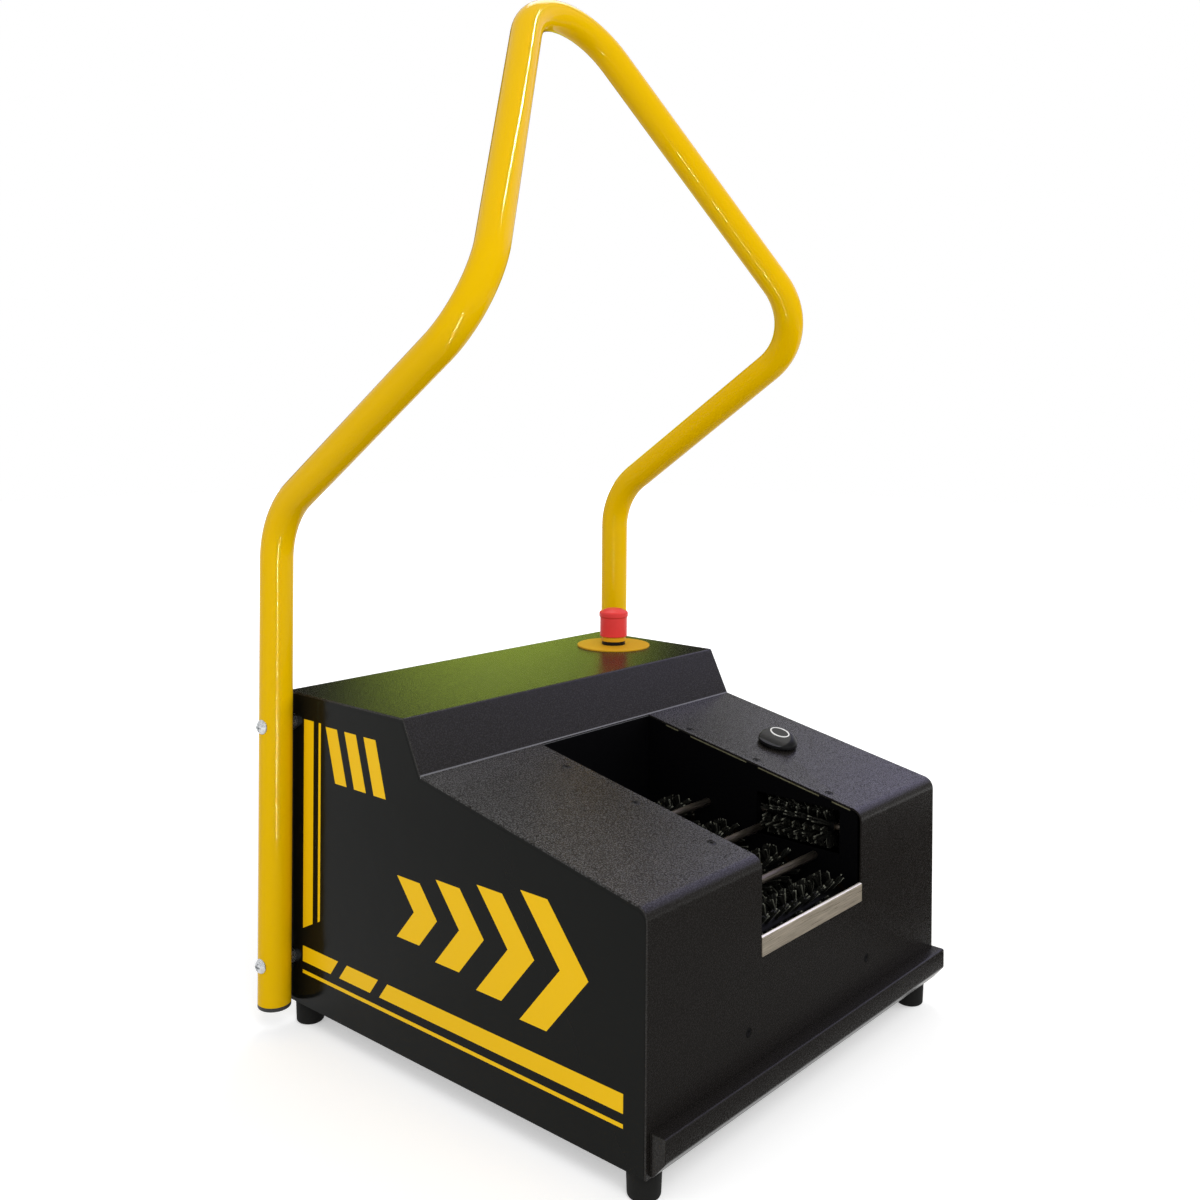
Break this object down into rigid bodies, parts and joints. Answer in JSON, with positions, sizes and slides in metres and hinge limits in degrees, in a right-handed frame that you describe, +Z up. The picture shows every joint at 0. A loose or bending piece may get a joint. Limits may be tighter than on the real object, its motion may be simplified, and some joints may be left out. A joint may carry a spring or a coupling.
{
  "type": "sole cleaning machine",
  "caption": "Floor-standing shoe sole cleaner with sloping deck, open brush well, driven brush rollers, tall bent tube handle, stop switch and front dirt drawer.",
  "frame": {"origin": "on the floor under the middle of the machine's overall box", "axes": "+Z up, +Y from the front with the drawer to the back, +X to the right seen from the front"},
  "size_m": [0.5738, 0.5051, 1.084],
  "materials": {
    "housing_paint": "fine textured black powder coat",
    "side_film": "glossy black film over powder coat",
    "well_paint": "matt black powder coat",
    "handle_paint": "gloss yellow powder coat",
    "cap_plastic": "moulded black",
    "screw_zinc": "zinc plated",
    "screw_black": "black oxide",
    "foot_rubber": "moulded",
    "bright_steel": "brushed",
    "rod_steel": "drawn",
    "brush_nylon": "black bristles",
    "pulley_alloy": "turned",
    "belt_rubber": "moulded",
    "bush_bronze": "sintered",
    "motor_shell": "cast grey",
    "stop_yellow": "moulded yellow",
    "switch_black": "moulded black",
    "stop_red": "moulded red",
    "box_plastic": "moulded grey"
  },
  "bodies": {
    "root": {"top_cover": "housing_paint", "rear_panel": "housing_paint", "base_plate": "housing_paint", "rear_posts": "housing_paint", "drawer_runners": "housing_paint", "front_rail": "housing_paint", "motor_bracket": "housing_paint", "side_panel_left": "side_film", "side_panel_right": "side_film", "well_wall_left": "well_paint", "well_wall_right": "well_paint", "well_wall_rear": "well_paint", "handle_tube": "handle_paint", "handle_end_caps": "cap_plastic", "handle_screws": "screw_zinc", "handle_spacers": "screw_zinc", "cover_screws": "screw_black", "rubber_feet": "foot_rubber", "edge_strip": "bright_steel", "support_rods": "rod_steel", "stop_lock_nut": "pulley_alloy", "drive_belts": "belt_rubber", "roller_bearings": "bush_bronze", "main_motor": "motor_shell", "side_motors": "motor_shell", "stop_plate": "stop_yellow", "stop_collar": "stop_yellow", "stop_base_ring": "switch_black", "stop_contact_block": "switch_black", "start_bezel": "switch_black", "start_switch_body": "switch_black", "cable_gland": "switch_black", "gland_nut": "switch_black", "control_box": "box_plastic", "control_box_lid": "box_plastic"},
    "drawer": {"drawer_tray": "housing_paint", "drawer_lip": "housing_paint"},
    "stop_stem": {"stop_stem": "switch_black"},
    "stop_head": {"stop_button": "stop_red"},
    "start_button": {"start_button": "switch_black"},
    "motor_rotor": {"motor_shaft": "rod_steel", "motor_pulley": "pulley_alloy"},
    "roller_1": {"roller_1_core": "rod_steel", "roller_1_tufts": "brush_nylon", "roller_1_pulleys": "pulley_alloy"},
    "roller_2": {"roller_2_core": "rod_steel", "roller_2_tufts": "brush_nylon", "roller_2_pulleys": "pulley_alloy"},
    "roller_3": {"roller_3_core": "rod_steel", "roller_3_tufts": "brush_nylon", "roller_3_pulleys": "pulley_alloy"},
    "roller_4": {"roller_4_core": "rod_steel", "roller_4_tufts": "brush_nylon", "roller_4_pulleys": "pulley_alloy"},
    "side_brush_left": {"side_brush_left_core": "rod_steel", "side_brush_left_tufts": "brush_nylon"},
    "side_brush_right": {"side_brush_right_core": "rod_steel", "side_brush_right_tufts": "brush_nylon"}
  },
  "joints": [
    {"name": "drawer_slide", "type": "slide", "parent": "root", "child": "drawer", "axis": [0, -1, 0], "range_m": [0, 0.25]},
    {"name": "stop_press", "type": "slide", "parent": "root", "child": "stop_stem", "axis": [0, 0, -1], "range_m": [0, 0.0045], "stiffness_N_per_m": 1500, "springref_m": -0.003},
    {"name": "stop_twist", "type": "hinge", "parent": "stop_stem", "child": "stop_head", "pos_m": [0.1805, 0.16373, 0.365], "axis": [0, 0, 1], "range_deg": [-45, 0], "stiffness_Nm_per_rad": 0.08, "springref_deg": 5.73},
    {"name": "start_press", "type": "slide", "parent": "root", "child": "start_button", "axis": [0, 0.1947, -0.9809], "range_m": [0, 0.002], "stiffness_N_per_m": 1200, "springref_m": -0.001},
    {"name": "motor_spin", "type": "hinge", "parent": "root", "child": "motor_rotor", "pos_m": [0, 0.14872, 0.175], "axis": [1, 0, 0], "continuous": true},
    {"name": "roller_1_spin", "type": "hinge", "parent": "root", "child": "roller_1", "pos_m": [0, -0.20627, 0.15196], "axis": [1, 0, 0], "continuous": true},
    {"name": "roller_2_spin", "type": "hinge", "parent": "root", "child": "roller_2", "pos_m": [0, -0.14328, 0.16446], "axis": [1, 0, 0], "continuous": true},
    {"name": "roller_3_spin", "type": "hinge", "parent": "root", "child": "roller_3", "pos_m": [0, -0.08027, 0.17697], "axis": [1, 0, 0], "continuous": true},
    {"name": "roller_4_spin", "type": "hinge", "parent": "root", "child": "roller_4", "pos_m": [0, -0.01727, 0.18948], "axis": [1, 0, 0], "continuous": true},
    {"name": "side_brush_left_spin", "type": "hinge", "parent": "root", "child": "side_brush_left", "pos_m": [-0.098, -0.16878, 0.214], "axis": [0, 1, 0], "continuous": true},
    {"name": "side_brush_right_spin", "type": "hinge", "parent": "root", "child": "side_brush_right", "pos_m": [0.1055, -0.16878, 0.214], "axis": [0, 1, 0], "continuous": true}
  ],
  "couplings": [
    {"joint": "roller_1_spin", "follows": "roller_4_spin", "ratio": 1},
    {"joint": "roller_2_spin", "follows": "roller_4_spin", "ratio": 1},
    {"joint": "roller_3_spin", "follows": "roller_4_spin", "ratio": 1},
    {"joint": "motor_spin", "follows": "roller_4_spin", "ratio": 1}
  ]
}
